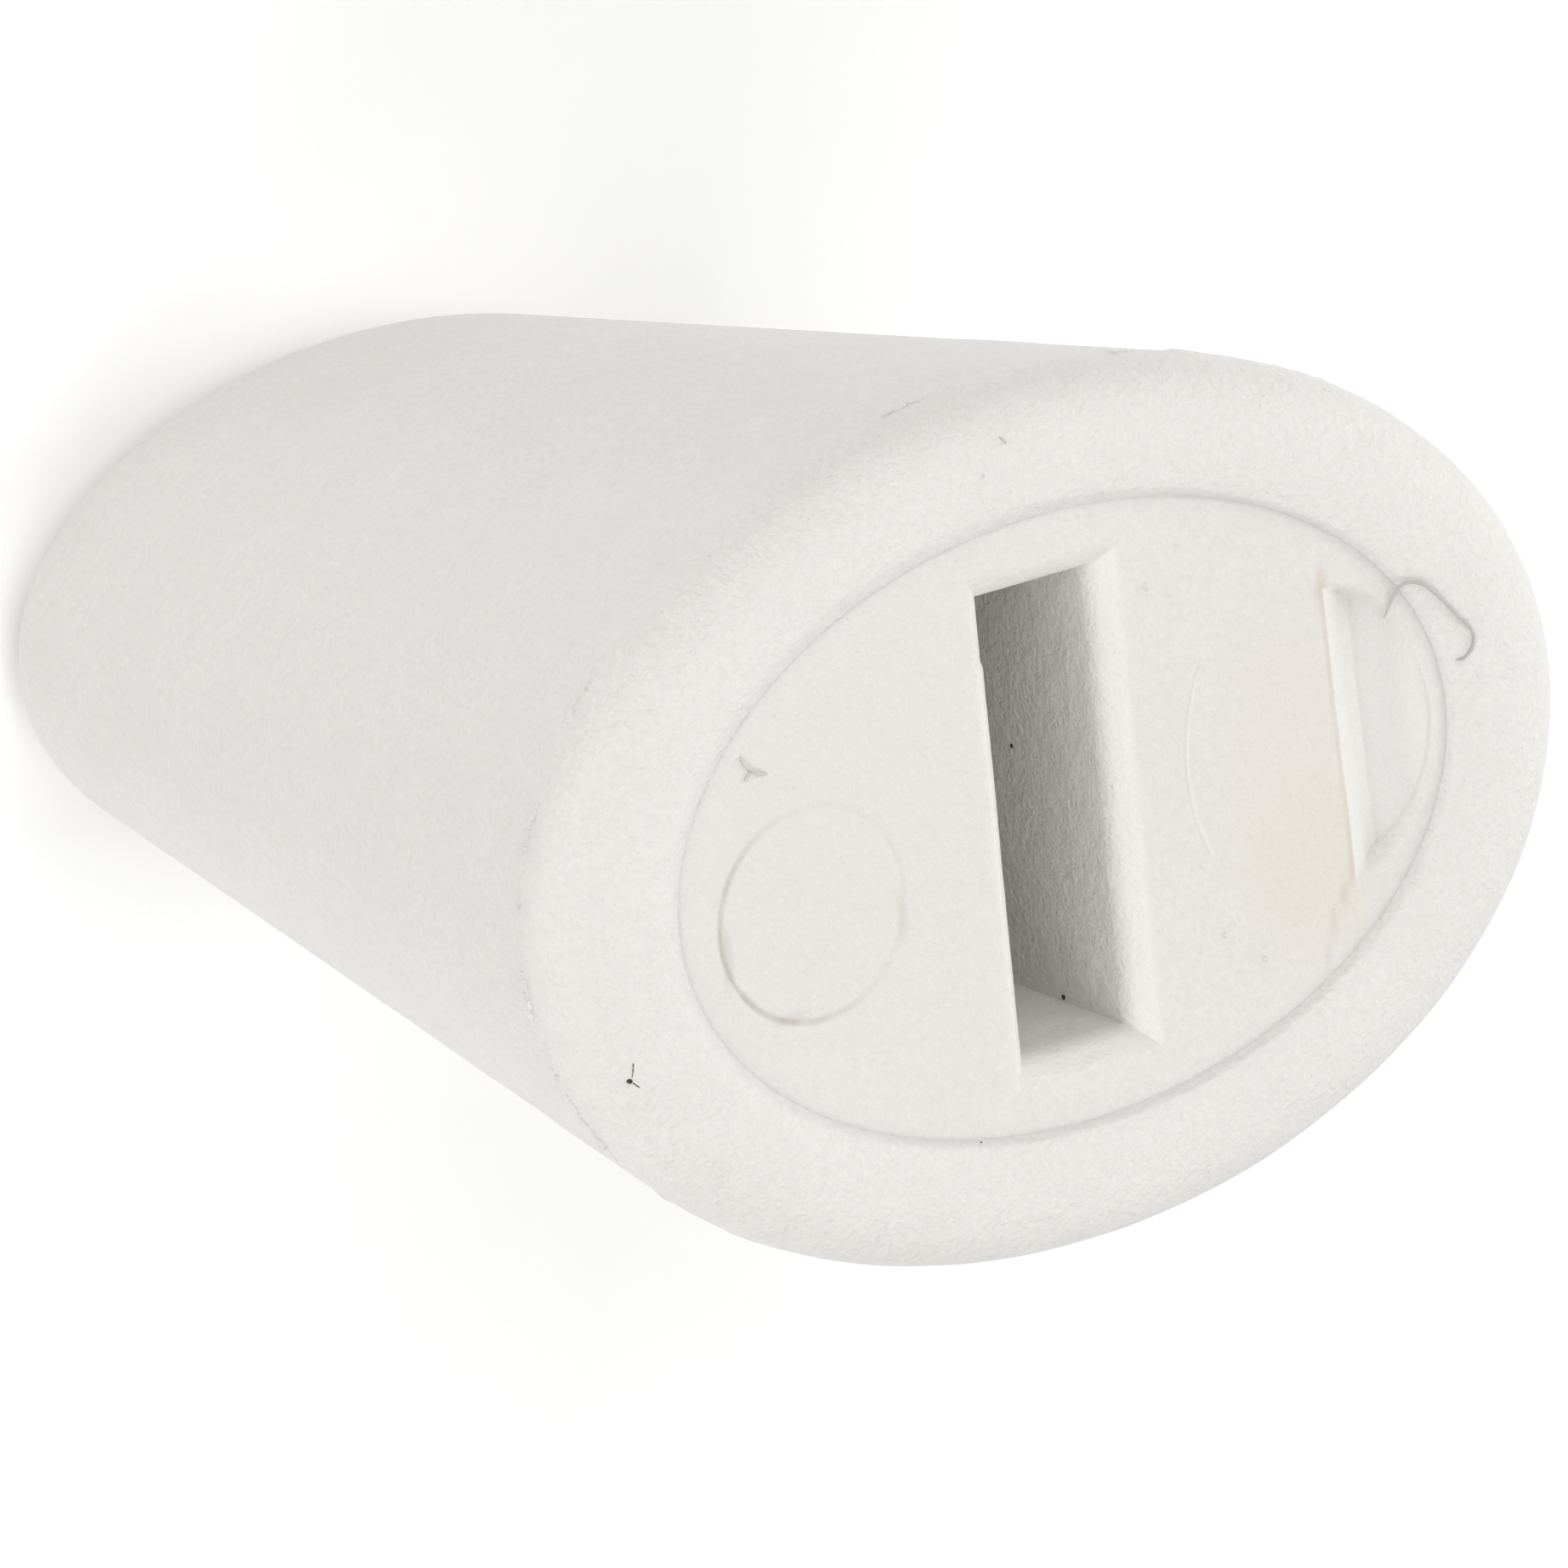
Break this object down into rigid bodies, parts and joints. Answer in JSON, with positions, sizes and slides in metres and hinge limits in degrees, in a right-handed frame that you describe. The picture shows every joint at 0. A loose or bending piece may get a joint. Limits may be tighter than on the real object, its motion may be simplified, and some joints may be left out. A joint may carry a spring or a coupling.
{
  "type": "push-on lever knob",
  "caption": "Small oval push-on knob for a flat lever: a tapered outer cap and a socket insert with a blind rectangular socket.",
  "frame": {"origin": "centre of the crown's flat, on which the knob stands", "axes": "+Z along the socket, from the crown to the socket's mouth; +X along the long axis of the oval, towards the gate pocket; +Y along the short axis"},
  "size_m": [0.0108, 0.008, 0.012],
  "materials": {
    "cap_plastic": "off-white moulded plastic with a fine spark-eroded grain",
    "insert_plastic": "off-white moulded plastic, smoother than the cap, faint tan blush beside the gate pocket"
  },
  "bodies": {
    "root": {"outer_cap": "cap_plastic", "socket_insert": "insert_plastic"}
  },
  "joints": []
}
